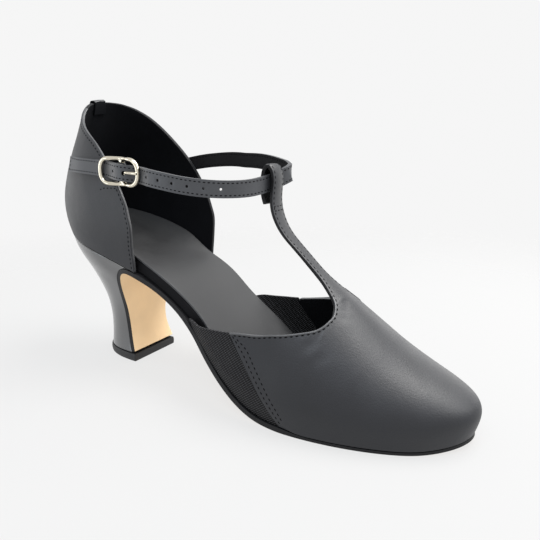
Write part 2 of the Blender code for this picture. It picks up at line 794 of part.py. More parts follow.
def build_vamp():
    """Forepart, its two wings back to the gores, and the T-strap with its loop, as one wall."""
    side_rows, ridge_rows = SIDE_ROWS, 3
    wing, fore = 10, 15
    bm = bmesh.new()
    throat_x, throat_level = THROAT[-1].x, THROAT[-1].lateral
    throat_u = station(throat_x)
    tip_u = BALL_X + TOE_RUN

    def side_grid(side):
        lines = []
        for i in range(wing + 1):
            part = i / wing
            top_x = SEAM_TOP_X + (throat_x - SEAM_TOP_X) * (1.0 - (1.0 - part) ** 1.8)
            top = along(THROAT, side, top_x)
            line = []
            for j in range(side_rows + 1):
                start = seam_spot(side, side_level(j, along(THROAT, side, SEAM_TOP_X)))
                share = part + ((top_x - SEAM_TOP_X) / (throat_x - SEAM_TOP_X) - part) * j / side_rows
                x = start + (throat_x - start) * share
                line.append(upper_point(side, station(x), side_level(j, top)))
            lines.append(line)
        for i in range(1, fore + 1):
            u = throat_u + (tip_u - throat_u) * i / fore
            lines.append([upper_point(side, u, side_level(j, throat_level)) for j in range(side_rows + 1)])
        return lines

    def ridge_grid(side):
        lines = []
        for i in range(fore + 1):
            u = throat_u + (tip_u - throat_u) * i / fore
            lines.append([upper_point(side, u, throat_level + (1.0 - throat_level) * j / ridge_rows)
                          for j in range(1, ridge_rows + 1)])
        return lines

    made = {}

    def vert(key, point):
        if key not in made:
            made[key] = bm.verts.new(point)
        return made[key]

    grids = {side: (side_grid(side), ridge_grid(side)) for side in SIGN}
    last_row = side_rows + ridge_rows

    def corner(side, i, j):
        sides, ridges = grids[side]
        point = sides[i][j] if j <= side_rows else ridges[i - wing][j - side_rows - 1]
        shared = i == wing + fore or j == last_row
        return vert(("ridge" if shared else side, i, j), point)

    for side in SIGN:
        for i in range(wing + fore):
            top = last_row if i >= wing else side_rows
            for j in range(top):
                ring = [corner(side, i, j), corner(side, i + 1, j), corner(side, i + 1, j + 1),
                        corner(side, i, j + 1)]
                bm.faces.new(ring if side == "lateral" else ring[::-1])

    curve = smooth_path([(row.x, row.y, row.z) for row in T_STRAP])
    run = lengths(curve)
    near = (0.0004, 0.0013, 0.0028, 0.0050, 0.0080, 0.0118)
    stops = list(near)
    while stops[-1] + 0.0030 < run[-1]:
        stops.append(stops[-1] + 0.0030)
    stops.append(run[-1])
    columns = 2 * ridge_rows
    line = [corner("lateral", wing, side_rows + k) for k in range(ridge_rows)]
    line += [corner("medial", wing, last_row - k) for k in range(ridge_rows + 1)]
    for stop in stops:
        middle, way, _ = at_length(curve, run, stop)
        normal = Vector((way.z, 0.0, -way.x)).normalized()
        down = Vector((0.0, 0.0, -1.0)).lerp(-normal, min(stop / T_ROOT, 1.0))
        half = along(T_WIDTH, "half", stop)
        row = []
        for k in range(columns + 1):
            y = half * (2.0 * k / columns - 1.0)
            crown = T_CROWN * y * y
            row.append(bm.verts.new(middle + Vector((0.0, y, 0.0)) + down * crown))
        for k in range(columns):
            bm.faces.new((line[k], line[k + 1], row[k + 1], row[k]))
        line = row
    shell("upper_vamp", bm, black_leather(), LEATHER_T, (0.190, 0.0, 0.042), (0, 0, 1))


def build_gore(side):
    """Elastic panel from the vamp's back seam to the arch, a little below the leather's face."""
    ribs = 6
    lines = []
    for i in range(ribs + 1):
        part = i / ribs
        top_x = SEAM_TOP_X + (GORE_BACK_X[side] - SEAM_TOP_X) * part
        end_z = seat(GORE_BACK_X[side], SOLE_T + GAP) + GORE_BACK_RISE
        seam_top = along(THROAT, side, SEAM_TOP_X)
        start_z = upper_point(side, SEAM_TOP_X, seam_top).z
        top = level_at(side, top_x, start_z + (end_z - start_z) * part ** 1.25)
        line = []
        for j in range(SIDE_ROWS + 1):
            start = seam_spot(side, side_level(j, seam_top)) - (1.5 + 1.5 * j / SIDE_ROWS) * GAP
            back_x = GORE_BACK_X[side] + 0.0010 * (1.0 - j / SIDE_ROWS)
            even = -1.0 + (1.0 + top) * j / SIDE_ROWS
            level = even + (side_level(j, max(top, 0.0)) - even) * (1.0 - part)
            point = upper_point(side, station(start + (back_x - start) * part), level)
            line.append(point - Vector((0.0, SIGN[side] * GORE_SINK, 0.0)))
        lines.append(line)
    bm, _ = sheet_mesh(lines)
    name = "gore_outer" if side == "lateral" else "gore_inner"
    shell(name, bm, material("black elastic", (0.016, 0.016, 0.018), 0.90), GORE_T,
          (0.125, SIGN[side] * 0.034, 0.02), (0, SIGN[side], 0))


def buckle_point(s, w, n):
    """World point from the buckle's axes: s along the strap, w up across it, n out of the shoe."""
    ahead = Vector((math.cos(BUCKLE_TILT), 0.0, -math.sin(BUCKLE_TILT)))
    up = Vector((math.sin(BUCKLE_TILT), 0.0, math.cos(BUCKLE_TILT)))
    return BUCKLE_AT + ahead * s + up * w + Vector((0.0, -n, 0.0))


def buckle_rise(s):
    """Height of the frame's wire: low at the centre bar, level along both ends."""
    part = min(abs(s) / (BUCKLE_HALF_L - BUCKLE_CORNER + 0.0006), 1.0)
    return BUCKLE_BOW * (3 * part * part - 2 * part ** 3)


def strap_over_bar():
    """Height of the strap's middle above the centre bar, which it crosses on top of the tab's fold."""
    return BUCKLE_BAR_R + GAP + TAB_T + GAP + 0.5 * STRAP_T + 0.0002


def strap_under_frame():
    return BUCKLE_BOW - BUCKLE_WIRE_R - GAP - 0.5 * STRAP_T


def ankle_route():
    """Middle points of the ankle strap, outer end to inner end, each with the strap's upward direction."""
    off = GAP + 0.5 * STRAP_T
    level = Vector((0.0, 0.0, 1.0))
    route = []

    def on_quarter(run, z):
        lean = quarter_point(run, z + 0.004, off) - quarter_point(run, z - 0.004, off)
        route.append((quarter_point(run, z, off), lean.normalized()))
    near = 4
    for i in range(near):
        part = i / (near - 1)
        run = ANKLE_BACK_RUN + (BACK_RUN + 0.0085 - ANKLE_BACK_RUN) * part
        z = ANKLE_NEAR_Z[0] + (ANKLE_NEAR_Z[1] - ANKLE_NEAR_Z[0]) * part
        on_quarter(-run, z)
    low, high = strap_under_frame(), strap_over_bar()
    for s, n in ((-BUCKLE_HALF_L, low), (-0.0096, low), (-0.0056, 0.5 * (low + high)), (-0.0020, high),
                 (0.0058, high), (0.0078, 0.5 * (low + high)), (0.0098, low), (BUCKLE_HALF_L, low)):
        route.append((buckle_point(s, -STRAP_SLANT * s, n), level))
    route += [(Vector(row), level) for row in ANKLE_FREE]
    for i, run in enumerate(ANKLE_FAR_RUNS):
        z = ANKLE_FAR_Z[0] + (ANKLE_FAR_Z[1] - ANKLE_FAR_Z[0]) * i / (len(ANKLE_FAR_RUNS) - 1)
        on_quarter(run, z)
    return route


def build_ankle_strap():
    route = ankle_route()
    curve = smooth_path([point for point, _ in route])
    run = lengths(curve)
    prong = buckle_point(PRONG_HOLE_S, -STRAP_SLANT * PRONG_HOLE_S, strap_over_bar())
    hole_at = min(range(len(curve)), key=lambda i: (curve[i] - prong).length)
    first = run[hole_at] - HOLE_PITCH
    half_cell = 0.5 * HOLE_PITCH
    stops = []
    place = first - 0.5 * half_cell
    while place > 0.004:
        stops.insert(0, place)
        place -= half_cell
    stops.insert(0, 0.0)
    holes = []
    place = first - 0.5 * half_cell
    for k in range(HOLES):
        stops += [place + half_cell, place + 2 * half_cell]
        holes.append(place + 0.5 * half_cell)
        place += 2 * half_cell
    fine = 0.0024
    count = round((run[-1] - stops[-1]) / fine)
    start = stops[-1]
    stops += [start + (run[-1] - start) * (i + 1) / count for i in range(count)]
    widths = (-0.5 * STRAP_W, -0.0019, 0.0019, 0.5 * STRAP_W)
    rows = []
    for stop in stops:
        point, way, spot = at_length(curve, run, stop)
        k = min(int(spot / PATH_STEPS), len(route) - 2)
        up = route[k][1].lerp(route[k + 1][1], spot / PATH_STEPS - k)
        across = (up - way * way.dot(up)).normalized()
        rows.append([point + across * w for w in widths])
    bm, lines = sheet_mesh(rows)
    bm.faces.ensure_lookup_table()
    for number, hole in enumerate(holes):
        i = max(k for k in range(len(stops) - 1) if stops[k] <= hole)
        corners = {lines[i][1], lines[i][2], lines[i + 1][1], lines[i + 1][2]}
        cell = next(f for f in lines[i][1].link_faces if set(f.verts) == corners)
        punch(bm, cell, USED_HOLE_R if number == 1 else HOLE_R)
    finish = black_leather()
    shell("ankle_strap", bm, finish, STRAP_T, (0.085, -0.034, 0.106), (0, -1, 0), 0.0)


def punch(bm, cell, radius):
    """Round hole through the middle of a quad cell, with four five-sided faces left round it."""
    middle = cell.calc_center_median()
    normal = cell.normal.copy()
    corners = list(cell.verts)
    bm.faces.remove(cell)

    def rim(spot):
        away = spot - middle
        away -= normal * away.dot(normal)
        return bm.verts.new(middle + away.normalized() * radius)
    at_corner = [rim(c.co) for c in corners]
    between = [rim(0.5 * (corners[i].co + corners[(i + 1) % 4].co)) for i in range(4)]
    for i in range(4):
        j = (i + 1) % 4
        bm.faces.new((corners[i], corners[j], at_corner[j], between[i], at_corner[i]))


def build_buckle_tab():
    """Leather fold from the inside of the quarter round the buckle's centre bar, slotted for the prong."""
    fold = BUCKLE_BAR_R + GAP + 0.5 * TAB_T
    widths = (-0.0041, -0.0015, 0.0015, 0.0041)
    inside = -(LEATHER_T + 2 * GAP + 0.5 * TAB_T)
    rows = []
    for s in (-0.0175, -0.0130, -0.0090):
        spots = [buckle_point(s, w, 0.0) for w in widths]
        rows.append([quarter_point(HEEL_X - BACK_RUN - spot.x, spot.z, inside) for spot in spots])
    line = [(-0.0050, -0.0026)]
    for k in range(9):
        turn = math.radians(-115.0 + 215.0 * k / 8)
        line.append((fold * math.cos(turn), fold * math.sin(turn)))
    rows += [[buckle_point(s, w, n) for w in widths] for s, n in line]
    bm, lines = sheet_mesh(rows)
    slot = []
    for i in range(7, len(lines) - 1):
        corners = {lines[i][1], lines[i][2], lines[i + 1][1], lines[i + 1][2]}
        slot += [f for f in lines[i][1].link_faces if set(f.verts) == corners]
    bmesh.ops.delete(bm, geom=slot, context="FACES")
    shell("buckle_tab", bm, black_leather(), TAB_T, lines[5][0].co, (1, 0, 0), 0.0)


def wire(name, points, radius, finish, cyclic=False, resolution=2):
    """Round wire through points, as a closed mesh."""
    data = bpy.data.curves.new(name, "CURVE")
    data.dimensions = "3D"
    data.bevel_depth = radius
    data.bevel_resolution = resolution
    data.use_fill_caps = not cyclic
    spline = data.splines.new("POLY")
    spline.points.add(len(points) - 1)
    for spot, point in zip(spline.points, points):
        spot.co = (*point, 1.0)
    spline.use_cyclic_u = cyclic
    curve = bpy.data.objects.new(name + "_curve", data)
    bpy.context.scene.collection.objects.link(curve)
    bpy.context.view_layer.update()
    mesh = bpy.data.meshes.new_from_object(curve.evaluated_get(bpy.context.evaluated_depsgraph_get()))
    bpy.data.objects.remove(curve, do_unlink=True)
    bm = bmesh.new()
    bm.from_mesh(mesh)
    bmesh.ops.remove_doubles(bm, verts=bm.verts, dist=0.00001)
    bpy.data.meshes.remove(mesh)
    return mesh_object(name, bm, finish)


def build_buckle():
    nickel = material("bright nickel", (0.78, 0.75, 0.67), 0.18, 1.0)
    outline = []
    steps = 6
    straight = BUCKLE_HALF_L - BUCKLE_CORNER
    for cs, cw, start in ((1, 1, 0), (-1, 1, 90), (-1, -1, 180), (1, -1, 270)):
        for k in range(steps):
            turn = math.radians(start + 90.0 * k / (steps - 1))
            s = cs * straight + BUCKLE_CORNER * math.cos(turn)
            w = cw * (BUCKLE_HALF_W - BUCKLE_CORNER) + BUCKLE_CORNER * math.sin(turn)
            outline.append((s, w))
        if cs == cw:
            outline += [(cs * straight * part, cw * BUCKLE_HALF_W) for part in (0.7, 0.4, 0.0, -0.4, -0.7)]
    corners = [buckle_point(s, w, buckle_rise(s)) for s, w in outline]
    frame = wire("buckle_frame", corners, BUCKLE_WIRE_R, nickel, cyclic=True)
    ends = [buckle_point(0.0, w, 0.0) for w in (-BUCKLE_HALF_W, BUCKLE_HALF_W)]
    bar = wire("buckle_bar", ends, BUCKLE_BAR_R, nickel)
    shoe.objects.unlink(bar)
    cutters.objects.link(bar)
    bar.hide_render = True
    bar.display_type = "WIRE"
    join = frame.modifiers.new("centre bar", "BOOLEAN")
    join.operation = "UNION"
    join.object = bar
    under = BUCKLE_BAR_R + GAP + PRONG_R
    rest = BUCKLE_BOW + BUCKLE_WIRE_R + GAP + PRONG_R
    above = strap_over_bar() + 0.5 * STRAP_T + GAP + PRONG_R
    rise = PRONG_HOLE_S
    route = [(0.0, under), (rise - 0.0014, under), (rise - 0.0005, under + 0.0003), (rise, under + 0.0011),
             (rise, above - 0.0010), (rise + 0.0004, above - 0.0001), (rise + 0.0013, above + 0.0003),
             (rise + 0.0030, above), (BUCKLE_HALF_L, rest), (BUCKLE_HALF_L + 0.0009, rest - 0.0001)]
    points = smooth_path([buckle_point(s, 0.0, n) for s, n in route], 2)
    wire("buckle_prong", points, PRONG_R, nickel)


def carry_to_frame():
    """Parent every piece to one empty that moves the box's bottom middle to the origin."""
    bpy.context.view_layer.update()
    graph = bpy.context.evaluated_depsgraph_get()
    low = Vector((1e9, 1e9, 1e9))
    high = -low
    for piece in shoe.objects:
        for vertex in piece.evaluated_get(graph).to_mesh().vertices:
            low = Vector(map(min, low, vertex.co))
            high = Vector(map(max, high, vertex.co))
    carrier = bpy.data.objects.new("shoe_frame", None)
    carrier.location = (-0.5 * (low.x + high.x), -0.5 * (low.y + high.y), -low.z)
    bpy.context.scene.collection.objects.link(carrier)
    for piece in list(shoe.objects) + list(cutters.objects):
        piece.parent = carrier


def main():
    clear_scene()
    build_outsole()
    build_heel()
    build_heel_tip()
    build_insole()
    build_vamp()
    build_gore("lateral")
    build_gore("medial")
    build_quarter()
    build_back_tab()
    build_ankle_strap()
    build_buckle_tab()
    build_buckle()
    carry_to_frame()


main()
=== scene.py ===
import json
import math

import bmesh
import bpy
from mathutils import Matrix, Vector
from mathutils.bvhtree import BVHTree

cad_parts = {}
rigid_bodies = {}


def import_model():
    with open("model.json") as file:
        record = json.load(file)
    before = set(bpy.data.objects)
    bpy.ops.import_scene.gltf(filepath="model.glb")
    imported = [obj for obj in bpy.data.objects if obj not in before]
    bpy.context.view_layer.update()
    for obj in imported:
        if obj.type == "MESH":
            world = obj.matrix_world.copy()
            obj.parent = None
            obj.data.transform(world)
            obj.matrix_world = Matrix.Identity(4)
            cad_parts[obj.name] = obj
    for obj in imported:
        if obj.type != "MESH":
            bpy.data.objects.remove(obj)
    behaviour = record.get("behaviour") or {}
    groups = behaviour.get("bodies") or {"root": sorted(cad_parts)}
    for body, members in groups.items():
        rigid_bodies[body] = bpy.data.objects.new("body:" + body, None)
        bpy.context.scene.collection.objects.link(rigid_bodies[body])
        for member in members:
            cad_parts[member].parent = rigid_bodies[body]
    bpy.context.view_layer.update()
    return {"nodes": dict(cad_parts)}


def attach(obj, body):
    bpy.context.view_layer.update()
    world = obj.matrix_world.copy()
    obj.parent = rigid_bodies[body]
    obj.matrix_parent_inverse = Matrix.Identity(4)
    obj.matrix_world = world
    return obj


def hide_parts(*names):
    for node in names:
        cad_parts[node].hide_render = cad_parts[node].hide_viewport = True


for leftover in list(bpy.data.objects):
    bpy.data.objects.remove(leftover)

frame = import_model()
print("loaded", len(frame["nodes"]), "nodes")


# everyday moves
def pickOnly(obj):
    bpy.ops.object.select_all(action="DESELECT")
    obj.select_set(True)
    bpy.context.view_layer.objects.active = obj


def applyAll(obj):
    pickOnly(obj)
    for modifier in list(obj.modifiers):
        bpy.ops.object.modifier_apply(modifier=modifier.name)


quadShape = {"merge": 1e-6, "flat": 0.5, "square": 1.2}


def copyOfNode(node, pieceName):
    # a loose copy of a CAD node, merged and turned to quads
    piece = frame["nodes"][node].copy()
    piece.data = frame["nodes"][node].data.copy()
    piece.name = pieceName
    piece.data.name = pieceName
    for key in [k for k in piece.keys() if k.startswith("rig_")]:
        del piece[key]
    piece.parent = None
    bpy.context.scene.collection.objects.link(piece)
    piece.data.materials.clear()
    pickOnly(piece)
    bpy.ops.object.mode_set(mode="EDIT")
    bpy.ops.mesh.select_all(action="SELECT")
    bpy.ops.mesh.remove_doubles(threshold=quadShape["merge"])
    bpy.ops.mesh.tris_convert_to_quads(face_threshold=quadShape["flat"], shape_threshold=quadShape["square"])
    bpy.ops.object.mode_set(mode="OBJECT")
    if piece.data.has_custom_normals:
        bpy.ops.mesh.customdata_custom_splitnormals_clear()
    return piece


def facesUpTo(mesh, seed, sharp):
    # the skin of a wall: all faces reached from the one nearest the seed without crossing a sharp edge
    work = bmesh.new()
    work.from_mesh(mesh)
    work.faces.ensure_lookup_table()
    start = min(work.faces, key=lambda f: (f.calc_center_median() - Vector(seed)).length)
    found, todo = {start.index}, [start]
    while todo:
        for edge in todo.pop().edges:
            if len(edge.link_faces) != 2 or edge.calc_face_angle() > sharp:
                continue
            for other in edge.link_faces:
                if other.index not in found:
                    found.add(other.index)
                    todo.append(other)
    work.free()
    return found


def rimOf(mesh, skin):
    # the skin's edge as closed loops of (place, way along, way inwards)
    work = bmesh.new()
    work.from_mesh(mesh)
    work.faces.ensure_lookup_table()
    onward = {}
    for face in (work.faces[i] for i in skin):
        for loop in face.loops:
            if all(f.index in skin for f in loop.edge.link_faces):
                continue
            here, there = loop.vert, loop.link_loop_next.vert
            way = (there.co - here.co).normalized()
            onward[here.index] = (there.index, here.co.copy(), way, face.normal.copy())
    loops = []
    while onward:
        here, walk = next(iter(onward)), []
        while here in onward:
            step = onward.pop(here)
            walk.append(step)
            here = step[0]
        rim = []
        for k, (_, spot, way, up) in enumerate(walk):
            before = walk[k - 1]
            along = (way + before[2]).normalized()
            out = (up + before[3]).normalized()
            rim.append((spot, along, out.cross(along).normalized()))
        loops.append(rim)
    work.free()
    return loops


softShape = {"segments": 2, "sharp": 0.7, "levels": 2}


def soften(piece, edge):
    # small round edges where it has any, then a smooth surface
    if edge:
        bevel = piece.modifiers.new("round edges", "BEVEL")
        bevel.width = edge
        bevel.segments = softShape["segments"]
        bevel.limit_method = "ANGLE"
        bevel.angle_limit = softShape["sharp"]
        bevel.use_clamp_overlap = True
    smooth = piece.modifiers.new("smooth", "SUBSURF")
    smooth.levels = softShape["levels"]
    smooth.render_levels = softShape["levels"]
    applyAll(piece)
    bpy.ops.object.shade_smooth()


def settle(piece, node):
    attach(piece, "root")
    if node:
        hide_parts(node)


# finishes
def startMaterial(name, look):
    made = bpy.data.materials.new(name)
    made.use_nodes = True
    shader = made.node_tree.nodes["Principled BSDF"]
    shader.inputs["Base Color"].default_value = (*look["colour"], 1)
    shader.inputs["Roughness"].default_value = look["rough"]
    shader.inputs["Metallic"].default_value = look.get("metal", 0)
    shader.inputs["Specular IOR Level"].default_value = look.get("specular", 0.5)
    shader.inputs["Coat Weight"].default_value = look.get("coat", 0)
    shader.inputs["Coat Roughness"].default_value = look.get("coatRough", 0.3)
    return made, shader


def add(made, kind, **values):
    node = made.node_tree.nodes.new(kind)
    for key, value in values.items():
        if hasattr(node, key):
            setattr(node, key, value)
        else:
            node.inputs[key.replace("_", " ")].default_value = value
    return node


def wire(made, source, target):
    made.node_tree.links.new(source, target)


def twoTone(made, shader, share, stops, colours):
    # the base colour as a ramp between two colours
    tint = add(made, "ShaderNodeValToRGB")
    for element, stop, colour in zip(tint.color_ramp.elements, stops, colours):
        element.position = stop
        element.color = (*colour, 1)
    wire(made, share, tint.inputs["Fac"])
    wire(made, tint.outputs["Color"], shader.inputs["Base Color"])
    return tint


mottleRange = (0.3, 0.7)  # the part of the noise that counts


def mottle(made, shader, place, look):
    # slow change of colour and gloss over the surface
    cloud = add(made, "ShaderNodeTexNoise", Scale=look["mottleScale"], Detail=4.0, Roughness=0.6)
    wire(made, place, cloud.inputs["Vector"])
    dark = [c * (1 - look["mottle"]) for c in look["colour"]]
    pale = [c * (1 + look["mottle"]) for c in look["colour"]]
    tint = twoTone(made, shader, cloud.outputs["Fac"], mottleRange, (dark, pale))
    if "paintedShadeFrom" in look:  # painted shade: darker towards the back, where the heel cup shades it
        length = add(made, "ShaderNodeSeparateXYZ")
        wire(made, place, length.inputs["Vector"])
        paintedShade = add(
            made, "ShaderNodeMapRange", interpolation_type="SMOOTHSTEP",
            From_Min=look["paintedShadeFrom"], From_Max=look["paintedShadeTo"], To_Min=look["paintedShade"],
        )
        wire(made, length.outputs["X"], paintedShade.inputs["Value"])
        scaled = add(made, "ShaderNodeVectorMath", operation="SCALE")
        wire(made, tint.outputs["Color"], scaled.inputs[0])
        wire(made, paintedShade.outputs["Result"], scaled.inputs["Scale"])
        wire(made, scaled.outputs["Vector"], shader.inputs["Base Color"])
    gloss = add(
        made, "ShaderNodeMapRange", From_Min=mottleRange[0], From_Max=mottleRange[1],
        To_Min=look["rough"] - look["roughPlay"], To_Max=look["rough"] + look["roughPlay"],
    )
    wire(made, cloud.outputs["Fac"], gloss.inputs["Value"])
    wire(made, gloss.outputs["Result"], shader.inputs["Roughness"])


def relief(made, shader, height, strength, depth, under=None):
    bump = add(made, "ShaderNodeBump", Strength=strength, Distance=depth)
    wire(made, height, bump.inputs["Height"])
    if under:
        wire(made, under.outputs["Normal"], bump.inputs["Normal"])
    wire(made, bump.outputs["Normal"], shader.inputs["Normal"])
    return bump


def startFinish(name, look):
    made, shader = startMaterial(name, look)
    place = add(made, "ShaderNodeTexCoord").outputs["Object"]
    mottle(made, shader, place, look)
    return made, shader, place


def leatherFinish(name, look):
    made, shader, place = startFinish(name, look)
    folds = add(made, "ShaderNodeTexNoise", Scale=look["foldScale"], Detail=3.0, Roughness=0.55)
    wire(made, place, folds.inputs["Vector"])
    soft = relief(made, shader, folds.outputs["Fac"], look["foldStrength"], look["foldDepth"])
    pores = add(made, "ShaderNodeTexVoronoi", feature="SMOOTH_F1", Scale=look["grainScale"])
    wire(made, place, pores.inputs["Vector"])
    relief(made, shader, pores.outputs["Distance"], look["grainStrength"], look["grainDepth"], soft)
    return made


def napFinish(name, look):
    # suede or brushed lining: short fibres, no shine
    made, shader, place = startFinish(name, look)
    fibres = add(made, "ShaderNodeTexNoise", Scale=look["grainScale"], Detail=5.0, Roughness=0.7)
    wire(made, place, fibres.inputs["Vector"])
    relief(made, shader, fibres.outputs["Fac"], look["grainStrength"], look["grainDepth"])
    return made


wavePitch = 0.314  # of the wave texture at scale 1


def bands(made, place, direction, pitch, wander):
    wave = add(
        made, "ShaderNodeTexWave", wave_type="BANDS", bands_direction=direction,
        Scale=wavePitch / pitch, Distortion=wander, Detail=0,
    )
    wire(made, place, wave.inputs["Vector"])
    return wave.outputs["Fac"]


def twillFinish(name, look):
    # diagonal ribs crossed by finer threads, laid in the plane of the shoe's side
    made, shader, place = startFinish(name, look)
    turned = add(made, "ShaderNodeMapping", Rotation=(0, math.radians(look["ribTurn"]), 0))
    wire(made, place, turned.inputs["Vector"])
    ribs = bands(made, turned.outputs["Vector"], "X", look["ribPitch"], look["ribWander"])
    threads = bands(made, turned.outputs["Vector"], "Z", look["threadPitch"], look["threadWander"])
    shallow = add(made, "ShaderNodeMapRange", To_Min=look["threadShare"])
    wire(made, threads, shallow.inputs["Value"])
    woven = add(made, "ShaderNodeMath", operation="MULTIPLY")
    wire(made, ribs, woven.inputs[0])
    wire(made, shallow.outputs["Result"], woven.inputs[1])
    relief(made, shader, woven.outputs["Value"], look["ribStrength"], look["ribDepth"])
    # the grooves between the ribs are painted near black: painted shade in the weave
    twoTone(made, shader, woven.outputs["Value"], look["tintStops"], (look["grooveShadeColour"], look["colour"]))
    return made


def metalFinish(name, look):
    return startFinish(name, look)[0]


upperLook = {
    "colour": (0.0094, 0.0104, 0.0136), "rough": 0.48, "roughPlay": 0.05, "specular": 0.45,
    "mottle": 0.12, "mottleScale": 60,
    "foldScale": 70, "foldStrength": 0.25, "foldDepth": 0.0008,
    "grainScale": 1500, "grainStrength": 0.30, "grainDepth": 0.00014,
}
# the heel's black leather is painted paler than the upper's: painted light on the heel
heelLook = dict(
    upperLook, colour=(0.024, 0.0245, 0.0265), rough=0.36, specular=1.0, coat=0.9, coatRough=0.20,
    grainStrength=0.06, foldStrength=0.05,
)
# a paler copy of the upper leather for the strap's face: painted light where it faces the lamps
strapFaceLook = dict(upperLook, colour=(0.042, 0.044, 0.049), rough=0.42)
# the sock is painted darker towards the heel: painted shade of the heel cup
sockLook = dict(
    upperLook, colour=(0.0225, 0.023, 0.0245), rough=0.55, specular=0.34,
    grainStrength=0.15, grainScale=1900, paintedShadeFrom=-0.075, paintedShadeTo=-0.025, paintedShade=0.5,
)
liningLook = {
    "colour": (0.0035, 0.0038, 0.0048), "rough": 0.92, "roughPlay": 0.04, "specular": 0.08,
    "mottle": 0.2, "mottleScale": 90, "grainScale": 2600, "grainStrength": 0.5, "grainDepth": 0.0002,
}
wrapLook = dict(liningLook, colour=(0.006, 0.006, 0.007), specular=0.15, grainScale=1800, grainStrength=0.6)
# the weave's grooves take a near-black colour: painted shade
goreLook = {
    "colour": (0.043, 0.043, 0.048), "rough": 0.75, "roughPlay": 0.05, "specular": 0.25,
    "mottle": 0.15, "mottleScale": 150, "ribPitch": 0.00095, "ribWander": 0.4, "ribTurn": -50,
    "threadPitch": 0.0019, "threadWander": 0.3, "threadShare": 0.4,
    "ribStrength": 1.0, "ribDepth": 0.0006, "grooveShadeColour": (0.001, 0.001, 0.001), "tintStops": (0.15, 0.8),
}
tanLook = {
    "colour": (0.80, 0.60, 0.37), "rough": 0.62, "roughPlay": 0.05, "specular": 0.35,
    "mottle": 0.05, "mottleScale": 60, "foldScale": 200, "foldStrength": 0.05, "foldDepth": 0.0003,
    "grainScale": 2400, "grainStrength": 0.15, "grainDepth": 0.0001,
}
edgeLook = dict(upperLook, colour=(0.006, 0.006, 0.007), rough=0.48, specular=0.24, grainStrength=0.1)
strapBackLook = dict(upperLook, colour=(0.006, 0.006, 0.007), rough=0.7, specular=0.25)
cutLook = dict(upperLook, colour=(0.045, 0.046, 0.05), rough=0.5)
# folded edges are a paler copy of the upper leather: painted highlight along the rounded fold
foldHighlightLook = dict(upperLook, colour=(0.040, 0.041, 0.044), rough=0.40, specular=0.6)
# hole walls are near black: painted shade inside the holes
holeLook = dict(liningLook, colour=(0.002, 0.002, 0.002), specular=0.05)
rubberLook = dict(upperLook, colour=(0.012, 0.012, 0.013), rough=0.55, grainScale=900, grainStrength=0.15)
threadLook = {
    "colour": (0.0016, 0.0017, 0.0022), "rough": 0.75, "roughPlay": 0.05, "specular": 0.10,
    "mottle": 0.2, "mottleScale": 800, "grainScale": 4000, "grainStrength": 0.3, "grainDepth": 0.0001,
}
nickelLook = {
    "colour": (0.66, 0.61, 0.50), "rough": 0.15, "roughPlay": 0.05, "metal": 1.0,
    "mottle": 0.04, "mottleScale": 300,
}

upperLeather = leatherFinish("upper leather", upperLook)
heelLeather = leatherFinish("heel leather", heelLook)
strapLeather = leatherFinish("strap leather", strapFaceLook)
sockLeather = leatherFinish("sock leather", sockLook)
suedeLiningAndShade = napFinish("suede lining and painted shade", liningLook)
boardWrapAndShade = napFinish("board wrap and painted shade", wrapLook)
elasticTwill = twillFinish("elastic twill", goreLook)
tanSole = leatherFinish("tan sole", tanLook)
edgePaintAndShade = leatherFinish("edge paint and painted shade", edgeLook)
tipRubber = leatherFinish("tip rubber", rubberLook)
strapBackAndShade = leatherFinish("strap back and painted shade", strapBackLook)
paleEdge = leatherFinish("pale cut edge and highlight", cutLook)
foldedEdgeHighlight = leatherFinish("folded edge", foldHighlightLook)
blackThread = napFinish("black thread", threadLook)
punchedHole = napFinish("punched hole shade", holeLook)
brightNickel = metalFinish("bright nickel", nickelLook)
print("finishes mixed")


# stitches
stitchShape = {
    "long": 0.0014, "wide": 0.00064, "high": 0.00042, "pitch": 0.0024, "sink": 0.00004,
    "segments": 8, "rings": 6, "lineStep": 0.0012,
}


def modelStitch():
    # one stitch, 1 long, wide and high, which every row copies
    bpy.ops.object.select_all(action="DESELECT")
    bpy.ops.mesh.primitive_uv_sphere_add(
        segments=stitchShape["segments"], ring_count=stitchShape["rings"], radius=0.5,
    )
    ball = bpy.context.object
    corners = [v.co.copy() for v in ball.data.vertices]
    sides = [tuple(p.vertices) for p in ball.data.polygons]
    bpy.data.objects.remove(ball)
    return corners, sides


stitchCorners, stitchSides = modelStitch()


def smoothLine(spots, step):
    # a round curve through the spots
    line = []
    for k in range(len(spots) - 1):
        a, b, c, d = spots[max(k - 1, 0)], spots[k], spots[k + 1], spots[min(k + 2, len(spots) - 1)]
        count = max(1, round((c - b).length / step))
        for n in range(count):
            t = n / count
            bend, twist = 2 * a - 5 * b + 4 * c - d, 3 * b - a - 3 * c + d
            line.append(0.5 * (2 * b + (c - a) * t + bend * t * t + twist * t ** 3))
    return line + [spots[-1]]


def rowOnSkin(rim, surface, inset, keep, reach=0.0):
    # runs of the rim, moved inwards over the finished surface
    # reach is the share of the way that they go on to the next corner
    runs, run, last, inner = [], [], None, None
    for spot, _, inwards in rim + rim[:1]:
        if keep(spot):
            if not run and last and reach:
                run.append(surface.find_nearest(spot.lerp(last, reach) + inwards * inset)[0])
            run.append(surface.find_nearest(spot + inwards * inset)[0])
            inner = inwards
        elif run:
            if reach:
                run.append(surface.find_nearest(last.lerp(spot, reach) + inner * inset)[0])
            runs.append(run)
            run = []
        last = spot
    if run:
        runs.append(run)
    return [smoothLine(r, stitchShape["lineStep"]) for r in runs if len(r) > 1]


